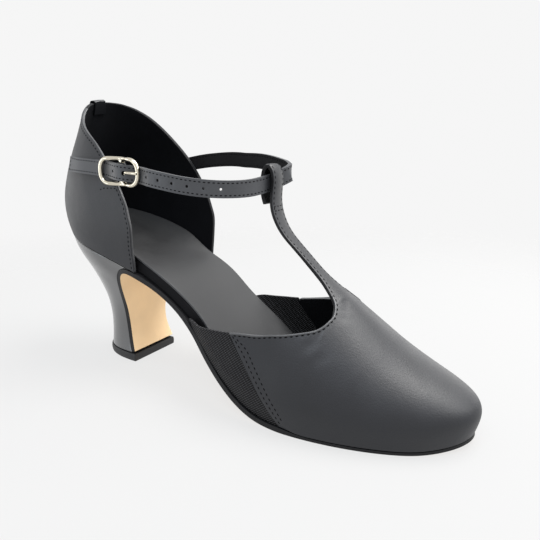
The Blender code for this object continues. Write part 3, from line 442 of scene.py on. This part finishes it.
def sew(pieceName, runs, surface, shape=stitchShape):
    # stitches at an even pitch along each run, lying on the surface
    corners, sides = [], []
    for spots in runs:
        reach = [0.0]
        for a, b in zip(spots, spots[1:]):
            reach.append(reach[-1] + (b - a).length)
        count = max(1, int(reach[-1] / shape["pitch"]))
        step = reach[-1] / count
        k = 0
        for n in range(count):
            want = (n + 0.5) * step
            while reach[k + 1] < want:
                k += 1
            share = (want - reach[k]) / max(1e-9, reach[k + 1] - reach[k])
            middle = spots[k].lerp(spots[k + 1], share)
            middle, up, _, _ = surface.find_nearest(middle)
            along = (spots[k + 1] - spots[k]).normalized()
            across = up.cross(along).normalized()
            along = across.cross(up)
            middle = middle - up * shape["sink"]
            first = len(corners)
            for c in stitchCorners:
                corners.append(
                    middle + along * c.z * shape["long"] + across * c.x * shape["wide"]
                    + up * c.y * shape["high"]
                )
            sides.extend(tuple(first + i for i in side) for side in stitchSides)
    newPiece(pieceName, corners, sides, blackThread)


def foldOver(pieceName, runs, surface, fold, finish):
    # the turned-in edge: a low round roll along the rim
    corners, sides = [], []
    for spots in runs:
        places = [surface.find_nearest(p)[:2] for p in spots]
        first, last = len(corners), len(spots) - 1
        for k in range(last + 1):
            place = places[k][0]
            near = (places[min(max(k + n, 0), last)][1] for n in (-2, -1, 0, 1, 2))
            up = sum(near, Vector()).normalized()
            along = (places[min(k + 1, last)][0] - places[max(k - 1, 0)][0]).normalized()
            across = up.cross(along).normalized()
            for n in range(fold["sides"]):
                turn = 2 * math.pi * n / fold["sides"]
                corners.append(
                    place + across * math.cos(turn) * fold["wide"] + up * math.sin(turn) * fold["high"]
                )
        for k in range(last):
            for n in range(fold["sides"]):
                here, there = first + k * fold["sides"], first + (k + 1) * fold["sides"]
                onward = (n + 1) % fold["sides"]
                sides.append((here + n, here + onward, there + onward, there + n))
        sides.append(tuple(first + n for n in range(fold["sides"])))
        sides.append(tuple(first + last * fold["sides"] + n for n in range(fold["sides"])))
    newPiece(pieceName, corners, sides, finish)


def newPiece(pieceName, corners, sides, finish):
    mesh = bpy.data.meshes.new(pieceName)
    mesh.from_pydata(corners, [], sides)
    piece = bpy.data.objects.new(pieceName, mesh)
    bpy.context.scene.collection.objects.link(piece)
    pickOnly(piece)
    bpy.ops.object.mode_set(mode="EDIT")
    bpy.ops.mesh.select_all(action="SELECT")
    bpy.ops.mesh.normals_make_consistent(inside=False)
    bpy.ops.object.mode_set(mode="OBJECT")
    bpy.ops.object.shade_smooth()
    piece.data.materials.append(finish)
    settle(piece, None)


def surfaceOf(piece):
    work = bmesh.new()
    work.from_mesh(piece.data)
    tree = BVHTree.FromBMesh(work)
    work.free()
    return tree


seamReach = 0.0006  # how far a wall's foot may stand off
thinSeam = 0.00006


def closeSeam(piece, neighbours, leave):
    # the wall's foot is drawn down onto what carries it, to a thin line
    for v in piece.data.vertices:
        for tree in neighbours:
            spot, _, _, far = tree.find_nearest(v.co)
            if leave < far < seamReach:
                v.co += (spot - v.co) * (1 - leave / far)


def dressWall(node, pieceName, look):
    # a wall with one finish outside, one inside, one on its folded edges and one on other edges
    piece = copyOfNode(node, pieceName)
    for v in piece.data.vertices:
        look["shape"](v)
    for finish in (look["edgeFinish"], look["outside"], look["lining"], look["otherFinish"]):
        piece.data.materials.append(finish)
    outer = facesUpTo(piece.data, look["outer"], look["sharp"])
    inner = facesUpTo(piece.data, look["inner"], look["sharp"])
    for face in piece.data.polygons:
        other = 3 if look["isOther"](face) else 0
        face.material_index = 1 if face.index in outer else 2 if face.index in inner else other
    closeSeam(piece, look["standsOn"], look["seam"])
    outerRim = max(rimOf(piece.data, outer), key=len)
    innerRim = max(rimOf(piece.data, inner), key=len)
    soften(piece, look["edge"])
    settle(piece, node)
    return piece, outerRim, innerRim


creaseShape = {"overrun": 0.3, "facing": -0.2, "reach": 3, "taper": 0.8, "ridge": 0.45, "ridgeAt": 1.5}


def crease(piece, ends, wide, deep):
    # a soft trough along a line, with a low ridge on both sides
    start, stop = (Vector(p) for p in ends)
    line = stop - start
    for v in piece.data.vertices:
        share = (v.co - start).dot(line) / line.length_squared
        inReach = -creaseShape["overrun"] < share < 1 + creaseShape["overrun"]
        if not inReach or v.normal.z < creaseShape["facing"]:
            continue
        off = (v.co - start - line * share).length / wide
        if off > creaseShape["reach"]:
            continue
        taper = max(0.0, 1 - abs(share - 0.5) / creaseShape["taper"]) ** 2
        ridge = creaseShape["ridge"] * math.exp(-((off - creaseShape["ridgeAt"]) ** 2) * 2)
        v.co += v.normal * deep * taper * (ridge - math.exp(-off * off))


# vamp with its T-strap, quarter and ankle strap
vampShape = {
    "strapLow": 0.055, "strapHigh": 0.084, "strapOut": 0.0016,
    "wideLow": 0.062, "wideHigh": 0.100, "wideFront": 0.06, "wider": 0.0008,
    "innerFrom": 0.02, "topBack": 0.010, "topFront": 0.046,
    "topFrom": 0.030, "topRamp": 0.006, "topRise": 0.0013,
    "middle": 0.05, "footBack": 0.042, "footRamp": 0.010,
    "footHigh": 0.0065, "footOut": 0.0009, "footDown": 0.0011,
}


def bow(value, first, last):
    # 0 at both ends, 1 in the middle
    return math.sin(math.pi * (value - first) / (last - first)) if first < value < last else 0.0


def footShare(v):
    # how much of the foot's move counts this far forward
    return min(1, (v.co.x - vampShape["footBack"]) / vampShape["footRamp"])


def shapeVamp(v):
    # the T-strap bows forward and is wider, the inner topline rises, the foot comes down round the sole
    v.co.x += vampShape["strapOut"] * bow(v.co.z, vampShape["strapLow"], vampShape["strapHigh"]) ** 2
    if v.co.y < 0 and v.co.x < vampShape["wideFront"]:
        v.co.y -= vampShape["wider"] * bow(v.co.z, vampShape["wideLow"], vampShape["wideHigh"])
    if v.co.y > vampShape["innerFrom"] and v.co.z > vampShape["topFrom"]:
        rise = bow(v.co.x, vampShape["topBack"], vampShape["topFront"])
        share = min(1, (v.co.z - vampShape["topFrom"]) / vampShape["topRamp"])
        v.co.z += vampShape["topRise"] * rise * share
    outwards = v.normal.x * (v.co.x - vampShape["middle"]) + v.normal.y * v.co.y
    if v.co.z < vampShape["footHigh"] and outwards > 0 and v.co.x > vampShape["footBack"]:
        share = footShare(v)
        v.co += Vector((v.normal.x, v.normal.y, 0)).normalized() * vampShape["footOut"] * share
        v.co.z -= vampShape["footDown"] * share


quarterShape = {
    "innerFrom": 0.01, "back": -0.056, "ramp": 0.010, "forward": 0.0011,
    "seatFrom": -0.082, "seatRamp": 0.014, "seatLow": 0.066, "seatHigh": 0.107, "seatOut": 0.0012,
}


def shapeQuarter(v):
    # its back bulges over the seat, and the inner front edge comes a little further forward
    if v.co.x < quarterShape["seatFrom"]:
        share = min(1, (quarterShape["seatFrom"] - v.co.x) / quarterShape["seatRamp"])
        bulge = bow(v.co.z, quarterShape["seatLow"], quarterShape["seatHigh"])
        v.co.x -= quarterShape["seatOut"] * share * bulge
    if v.co.y > quarterShape["innerFrom"] and v.co.x > quarterShape["back"]:
        v.co.x += quarterShape["forward"] * min(1, (v.co.x - quarterShape["back"]) / quarterShape["ramp"])


strapShape = {
    "innerFrom": 0.006, "back": -0.060, "front": -0.016, "rise": 0.00135,
    "holes": (
        (-0.0510, -0.0341, 0.1089), (-0.0372, -0.0317, 0.1073), (-0.0300, -0.0335, 0.1066),
        (-0.0227, -0.0339, 0.1055), (-0.0153, -0.0330, 0.1044), (-0.0082, -0.0312, 0.1033),
        (-0.0013, -0.0283, 0.1025), (0.0048, -0.0240, 0.1020),
    ),
    "holeReach": 0.0015, "holeShrink": 0.2,
}


def shapeStrap(v):
    # it arches where it leaves the quarter's inner side, and the punched holes draw in a little
    for hole in strapShape["holes"]:
        if (v.co - Vector(hole)).length < strapShape["holeReach"]:
            v.co += (Vector(hole) - v.co) * strapShape["holeShrink"]
    if v.co.y > strapShape["innerFrom"]:
        v.co.z += strapShape["rise"] * bow(v.co.x, strapShape["back"], strapShape["front"])


soleTop = surfaceOf(frame["nodes"]["outsole"])
heelTop = surfaceOf(frame["nodes"]["heel"])
vampLook = {
    "shape": shapeVamp, "outer": (0.07, 0, 0.07), "inner": (0.05, 0, 0.015), "sharp": 0.95,
    "edge": 0.00055, "standsOn": (soleTop,), "seam": thinSeam,
    # its folded edges take the paler fold finish: painted highlight
    "outside": upperLeather, "lining": suedeLiningAndShade, "edgeFinish": foldedEdgeHighlight,
    # the T-strap's edges and the back of its loop take the black edge finish: partly their edge paint, partly
    # painted shade
    "otherFinish": edgePaintAndShade, "isOther": lambda f: f.center.z > 0.046,
}
vamp, vampRim, _ = dressWall("upper_vamp", "vamp", vampLook)
vampCreases = (  # where the T-strap pulls at the throat, and where the foot bends
    (((0.0576, -0.0076, 0.0525), (0.0577, -0.0011, 0.0540)), 0.0015, 0.00030),
    (((0.0582, -0.0109, 0.0509), (0.0604, -0.0051, 0.0514)), 0.0016, 0.00032),
    (((0.0586, -0.0138, 0.0491), (0.0622, -0.0104, 0.0482)), 0.0017, 0.00028),
    (((0.0544, -0.0252, 0.0421), (0.0488, -0.0305, 0.0374)), 0.0024, 0.00025),
    (((0.0602, -0.0256, 0.0382), (0.0549, -0.0313, 0.0329)), 0.0026, 0.00025),
    (((0.0544, 0.0262, 0.0421), (0.0488, 0.0305, 0.0374)), 0.0024, 0.00025),
)
for ends, wide, deep in vampCreases:
    crease(vamp, ends, wide, deep)
quarterLook = dict(
    vampLook, shape=shapeQuarter, outer=(-0.2, 0, 0.1), inner=(-0.06, 0, 0.12), sharp=0.7,
    standsOn=(soleTop, heelTop), seam=0.00025,
    # its edges from the middle to the far side take the dark strap-back finish, painted shade; its near edges
    # take the paler fold finish, painted highlight
    otherFinish=strapBackAndShade, isOther=lambda f: f.center.y > -0.012,
)
quarter, quarterRim, _ = dressWall("upper_quarter", "quarter", quarterLook)
strapLook = dict(
    vampLook, shape=shapeStrap, outer=(0.02, -0.3, 0.11), inner=(-0.0135, 0.0251, 0.113),
    # its face takes the paler strap leather: painted light
    edge=0.00035, standsOn=(), outside=strapLeather, lining=strapBackAndShade,
    # its hole walls take the near-black hole finish: painted shade
    edgeFinish=paleEdge, otherFinish=punchedHole, isOther=lambda f: f.area < 1.6e-6,
)
strap, strapRim, strapInnerRim = dressWall("ankle_strap", "ankleStrap", strapLook)
print("uppers dressed")

goreShape = {
    "edge": 0.0003, "sink": -0.0002, "topFacing": 0.5,
    "gore_outer": (-0.0020, -0.0006), "gore_inner": (0.0010, -0.0009),  # its top's rise, back and front
}
for node, pieceName in (("gore_outer", "outerGore"), ("gore_inner", "innerGore")):
    gore = copyOfNode(node, pieceName)
    gore.data.materials.append(elasticTwill)
    closeSeam(gore, (soleTop,), goreShape["sink"])
    top = [v for v in gore.data.vertices if v.normal.z > goreShape["topFacing"]]
    back, front = min(v.co.x for v in top), max(v.co.x for v in top)
    riseBack, riseFront = goreShape[node]
    for v in top:
        share = (v.co.x - back) / (front - back)
        v.co.z += riseBack * (1 - share) + riseFront * share
    soften(gore, goreShape["edge"])
    settle(gore, node)

shankOpen = {
    "facing": 0.3,
    "outer": {"back": -0.053, "front": 0.004, "insole_board": 0.0, "insole_sock": 0.0005},
    "inner": {"back": -0.036, "front": 0.012, "insole_board": 0.0014, "insole_sock": 0.0020},
}
stouter = {"buckle_frame": 0.0003, "buckle_prong": 0.00025}
prongShape = {"front": -0.0375, "fade": 0.0051, "base": -0.0333, "rise": 0.0026, "down": 0.0016}
tabShape = {"upward": 0.8, "linedFrom": -0.0983, "inward": 0.25}
heelShape = {"seatFacing": 0.6, "rimFacing": 0.3, "rimIn": 0.0005}
tipShape = {"innerFrom": 0.004, "shorter": 0.0012}
sockSide = 0.5
for node, pieceName, finish, slotName, edge in (
    ("heel", "heelBlock", heelLeather, "black_leather", 0.0005),
    ("heel_tip", "heelTip", tipRubber, "black_rubber", 0.0011),
    ("insole_board", "boardEdge", boardWrapAndShade, "board_wrap", 0.0006),
    ("insole_sock", "sock", sockLeather, "grey_sock", 0.0003),
    ("back_tab", "backTab", upperLeather, "black_leather", 0.0002),
    ("buckle_tab", "buckleTab", upperLeather, "black_leather", 0.0002),
    ("buckle_frame", "buckleFrame", brightNickel, "bright_nickel", 0.0),
    ("buckle_prong", "bucklePin", brightNickel, "bright_nickel", 0.0),
):
    piece = copyOfNode(node, pieceName)
    piece.data.materials.append(finish)
    if node == "back_tab":  # its inner end is lined, its fold is painted pale: a painted highlight
        piece.data.materials.append(suedeLiningAndShade)
        piece.data.materials.append(foldedEdgeHighlight)
        for face in piece.data.polygons:
            lined = face.center.x > tabShape["linedFrom"] or face.normal.x > tabShape["inward"]
            face.material_index = 2 if face.normal.z > tabShape["upward"] else int(lined)
    if node in ("insole_board", "insole_sock"):  # both bulge where the shank is open
        for v in piece.data.vertices:
            gap = shankOpen["inner" if v.co.y > 0 else "outer"]
            if abs(v.normal.y) > shankOpen["facing"] and gap["back"] < v.co.x < gap["front"]:
                share = (v.co.x - gap["back"]) / (gap["front"] - gap["back"])
                v.co.y += math.copysign(gap[node] * math.sin(math.pi * share) ** 0.5, v.co.y)
    if node == "insole_sock":
        closeSeam(piece, (surfaceOf(frame["nodes"]["insole_board"]),), thinSeam)
        # its side faces are pale on the near side, partly the cut edge's own tone and partly painted highlight,
        # and dark on the far side, painted shade
        piece.data.materials.append(paleEdge)
        piece.data.materials.append(boardWrapAndShade)
        for face in piece.data.polygons:
            if abs(face.normal.z) < sockSide:
                face.material_index = 1 if face.center.y < 0 else 2
    if node == "heel":  # its seat takes the dark lining finish, painted shade for the groove under the quarter's edge, and stays inside the quarter's edge
        piece.data.materials.append(suedeLiningAndShade)
        for face in piece.data.polygons:
            face.material_index = int(face.normal.z > heelShape["seatFacing"])
        for v in piece.data.vertices:
            if v.normal.z > heelShape["rimFacing"]:
                v.co -= Vector((v.normal.x, v.normal.y, 0)) * heelShape["rimIn"]
    if node == "heel_tip":  # it ends close to the heel's inner side
        for v in piece.data.vertices:
            if v.co.y > tipShape["innerFrom"]:
                v.co.y -= tipShape["shorter"]
    if node == "buckle_prong":  # it lies low where it comes out of the strap
        for v in piece.data.vertices:
            near = min(1, max(0, (prongShape["front"] - v.co.x) / prongShape["fade"]))
            up = min(1, max(0, (prongShape["base"] - v.co.y) / prongShape["rise"]))
            v.co.y += prongShape["down"] * near * up
    if node in stouter:  # the real ones are heavier wire
        for v in piece.data.vertices:
            v.co += v.normal * stouter[node]
    soften(piece, edge)
    settle(piece, node)

outsoleShape = {"edge": 0.0004, "topFacing": 0.2, "treadSeed": (0.05, 0, -0.1), "sharp": 0.7}
outsole = copyOfNode("outsole", "outsole")
outsole.data.materials.append(edgePaintAndShade)
outsole.data.materials.append(tanSole)
for v in outsole.data.vertices:  # the forepart's edge is skived thin under the vamp's foot
    if v.co.x > vampShape["footBack"] and v.normal.z > outsoleShape["topFacing"]:
        v.co.z -= vampShape["footDown"] * footShare(v)
for i in facesUpTo(outsole.data, outsoleShape["treadSeed"], outsoleShape["sharp"]):
    outsole.data.polygons[i].material_index = 1
soften(outsole, outsoleShape["edge"])
settle(outsole, "outsole")
print("sole and heel dressed")

# seams of the vamp: along the topline and both sides of the T-strap, and twice beside each gore
seamLines = {
    "x": 0.0145, "foot": 0.0419, "outerTop": 0.0401, "innerTop": 0.0372, "floor": 0.0028,
    "slack": 0.0004, "near": 0.0008, "feather": 0.0054,
}
vampRows = {
    "top": 0.0012, "seams": (0.0021, 0.0046), "reach": 0.7, "foldReach": 0.9, "foldTop": 0.056,
    "loopRows": ((0.0193, 0.0930), (0.0203, 0.0912)), "loopAcross": (-0.0037, 0.0, 0.0038),
}


def onGoreSeam(spot):
    top = seamLines["outerTop"] if spot.y < 0 else seamLines["innerTop"]
    fall = (top - seamLines["floor"]) / (seamLines["foot"] - seamLines["x"])
    inRange = seamLines["x"] - seamLines["slack"] < spot.x < seamLines["foot"] + seamLines["slack"]
    return inRange and abs(spot.z - top + fall * (spot.x - seamLines["x"])) < seamLines["near"]


def onFeather(spot):
    return spot.z < seamLines["feather"]


vampSurface = surfaceOf(vamp)
foldShape = {"wide": 0.00048, "high": 0.00030, "inset": 0.00045, "sides": 8}


def onTopline(spot):
    return not onFeather(spot) and not onGoreSeam(spot)


def onThroat(spot):
    return onTopline(spot) and spot.z < vampRows["foldTop"]


topRow = rowOnSkin(vampRim, vampSurface, vampRows["top"], onTopline, vampRows["reach"])
throatFold = rowOnSkin(vampRim, vampSurface, foldShape["inset"], onThroat, vampRows["foldReach"])
# the throat's fold roll takes the paler fold finish: painted highlight
foldOver("throatFold", throatFold, vampSurface, foldShape, foldedEdgeHighlight)
seamRows = []
for inset in vampRows["seams"]:
    seamRows += rowOnSkin(vampRim, vampSurface, inset, onGoreSeam)
crossRows = [  # two short rows hold the T-strap's loop
    [Vector((x, y, z)) for y in vampRows["loopAcross"]] for x, z in vampRows["loopRows"]
]
sew("vampStitches", topRow + seamRows + crossRows, vampSurface)

quarterSeam = {
    "inset": 0.0019, "reach": 0.6, "foldReach": 0.9,
    "footHigh": 0.0728, "outerFront": -0.0499, "innerFront": -0.0412,
    "tabRow": (
        (-0.0666, -0.0312, 0.0990), (-0.0628, -0.0311, 0.1001),
        (-0.0583, -0.0312, 0.1003), (-0.0540, -0.0312, 0.1003),
    ),
}
quarterSurface = surfaceOf(quarter)


def offQuarterFoot(spot):
    front = quarterSeam["outerFront"] if spot.y < 0 else quarterSeam["innerFront"]
    return not (spot.z < quarterSeam["footHigh"] and spot.x < front)


quarterRows = rowOnSkin(quarterRim, quarterSurface, quarterSeam["inset"], offQuarterFoot, quarterSeam["reach"])
quarterFold = rowOnSkin(quarterRim, quarterSurface, foldShape["inset"], offQuarterFoot, quarterSeam["foldReach"])
foldOver("quarterFold", quarterFold, quarterSurface, foldShape, upperLeather)
quarterRows.append([Vector(spot) for spot in quarterSeam["tabRow"]])
sew("quarterStitches", quarterRows, quarterSurface)

strapSurface = surfaceOf(strap)
strapStitch = dict(stitchShape, pitch=0.0021, long=0.0013, wide=0.00056, inset=0.0012)
strapRows = []
for rim in (strapRim, strapInnerRim):
    strapRows += rowOnSkin(rim, strapSurface, strapStitch["inset"], lambda p: True)
sew("strapStitches", strapRows, strapSurface, strapStitch)
print("rows sewn")

# a tape inside covers each gore's seam to the vamp
tapeSettings = {"ahead": 0.0050, "behind": 0.0060, "depth": 0.0019, "thick": 0.0004, "tuck": 0.12}
for tapeName, side in (("outerSeamTape", -1), ("innerSeamTape", 1)):
    line = [r for r in vampRim if onGoreSeam(r[0]) and r[0].y * side > 0]
    line = sorted(line, key=lambda r: r[0].x)
    line[0] = (line[0][0].lerp(line[1][0], tapeSettings["tuck"]), line[1][1], line[1][2])
    line[-1] = (line[-1][0], line[-2][1], line[-2][2])
    bpy.ops.object.select_all(action="DESELECT")
    bpy.ops.mesh.primitive_grid_add(x_subdivisions=len(line) - 1, y_subdivisions=2, size=1)
    tape = bpy.context.object
    tape.name = tapeName
    columns = sorted({round(v.co.x, 4) for v in tape.data.vertices})
    reach = {-0.5: -tapeSettings["behind"], 0.0: 0.0, 0.5: tapeSettings["ahead"]}
    for v in tape.data.vertices:
        spot, along, inwards = line[columns.index(round(v.co.x, 4))]
        out = along.cross(inwards)
        level = (Vector((1, 0, 0)) - out * out.x).normalized()
        v.co = spot + level * reach[round(v.co.y, 1)] - out * tapeSettings["depth"]
    wall = tape.modifiers.new("thickness", "SOLIDIFY")
    wall.thickness = tapeSettings["thick"]
    applyAll(tape)
    tape.data.materials.append(suedeLiningAndShade)
    settle(tape, None)
print("seams taped")

# floor, light and camera
floorLook = {
    "size": 8.0, "colour": (0.075, 0.075, 0.075), "rough": 0.9, "specular": 0.1,
    "glow": 0.72, "fadeFrom": 0.22, "fadeTo": 0.60,
}
bpy.ops.object.select_all(action="DESELECT")
bpy.ops.mesh.primitive_plane_add(size=floorLook["size"], location=(0, 0, 0))
floor = bpy.context.object
floor.name = "floor"
paper, sheet = startMaterial("pale paper", floorLook)
sheet.inputs["Emission Color"].default_value = (1, 1, 1, 1)
sheet.inputs["Emission Strength"].default_value = floorLook["glow"]
far = add(paper, "ShaderNodeVectorMath", operation="LENGTH")  # the paper runs out into the pale room
wire(paper, add(paper, "ShaderNodeTexCoord").outputs["Object"], far.inputs[0])
fade = add(
    paper, "ShaderNodeMapRange", interpolation_type="SMOOTHSTEP",
    From_Min=floorLook["fadeFrom"], From_Max=floorLook["fadeTo"], To_Min=1, To_Max=0,
)
wire(paper, far.outputs["Value"], fade.inputs["Value"])
wire(paper, fade.outputs["Result"], sheet.inputs["Alpha"])
floor.data.materials.append(paper)

studioLook = {"colour": (1, 1, 1), "strength": 0.92}
studio = bpy.data.worlds.new("studio")
bpy.context.scene.world = studio
studio.use_nodes = True
room = studio.node_tree.nodes["Background"]
room.inputs["Color"].default_value = (*studioLook["colour"], 1)
room.inputs["Strength"].default_value = studioLook["strength"]
bpy.context.scene.view_settings.view_transform = "Standard"

lamps = (  # name, place, aim, size, power, tint
    ("top softbox", (0.21, 0.22, 0.70), (0.05, 0, 0.03), 0.50, 8.1, (1, 0.985, 0.96)),
    ("front softbox", (0.66, 0.16, 0.50), (0.06, 0, 0.03), 0.50, 3.1, (1, 1, 1)),
    ("side softbox", (0.0, -0.35, 0.75), (0, 0, 0.05), 0.40, 2.6, (0.82, 0.91, 1)),
    ("far strip", (0.25, 0.75, 0.12), (0.06, 0, 0.03), 0.60, 1.6, (1, 0.99, 0.97)),
    ("back strip", (-0.65, -0.15, 0.10), (-0.09, 0, 0.06), 0.40, 0.5, (1, 1, 1)),
    ("heel strip", (-0.42, -0.50, 0.04), (-0.09, -0.02, 0.05), 0.25, 0.35, (0.80, 0.90, 1)),
)
for lampName, spot, aim, size, power, tint in lamps:
    bpy.ops.object.light_add(type="AREA", location=spot)
    lamp = bpy.context.object
    lamp.name = lampName
    lamp.data.shape = "DISK"
    lamp.data.size = size
    lamp.data.energy = power
    lamp.data.color = tint
    lamp.visible_camera = False
    lamp.rotation_euler = (Vector(aim) - Vector(spot)).to_track_quat("-Z", "Y").to_euler()

view = {
    "spot": (0.1355, -0.1959, 0.1205), "tilt": 75.6, "turn": 31.5,
    "lens": 32.2, "sensor": 36, "nearest": 0.01,
}
bpy.ops.object.camera_add(
    location=view["spot"], rotation=(math.radians(view["tilt"]), 0, math.radians(view["turn"])),
)
camera = bpy.context.object
camera.data.lens = view["lens"]
camera.data.sensor_width = view["sensor"]
camera.data.clip_start = view["nearest"]
bpy.context.scene.camera = camera
print("stage set")
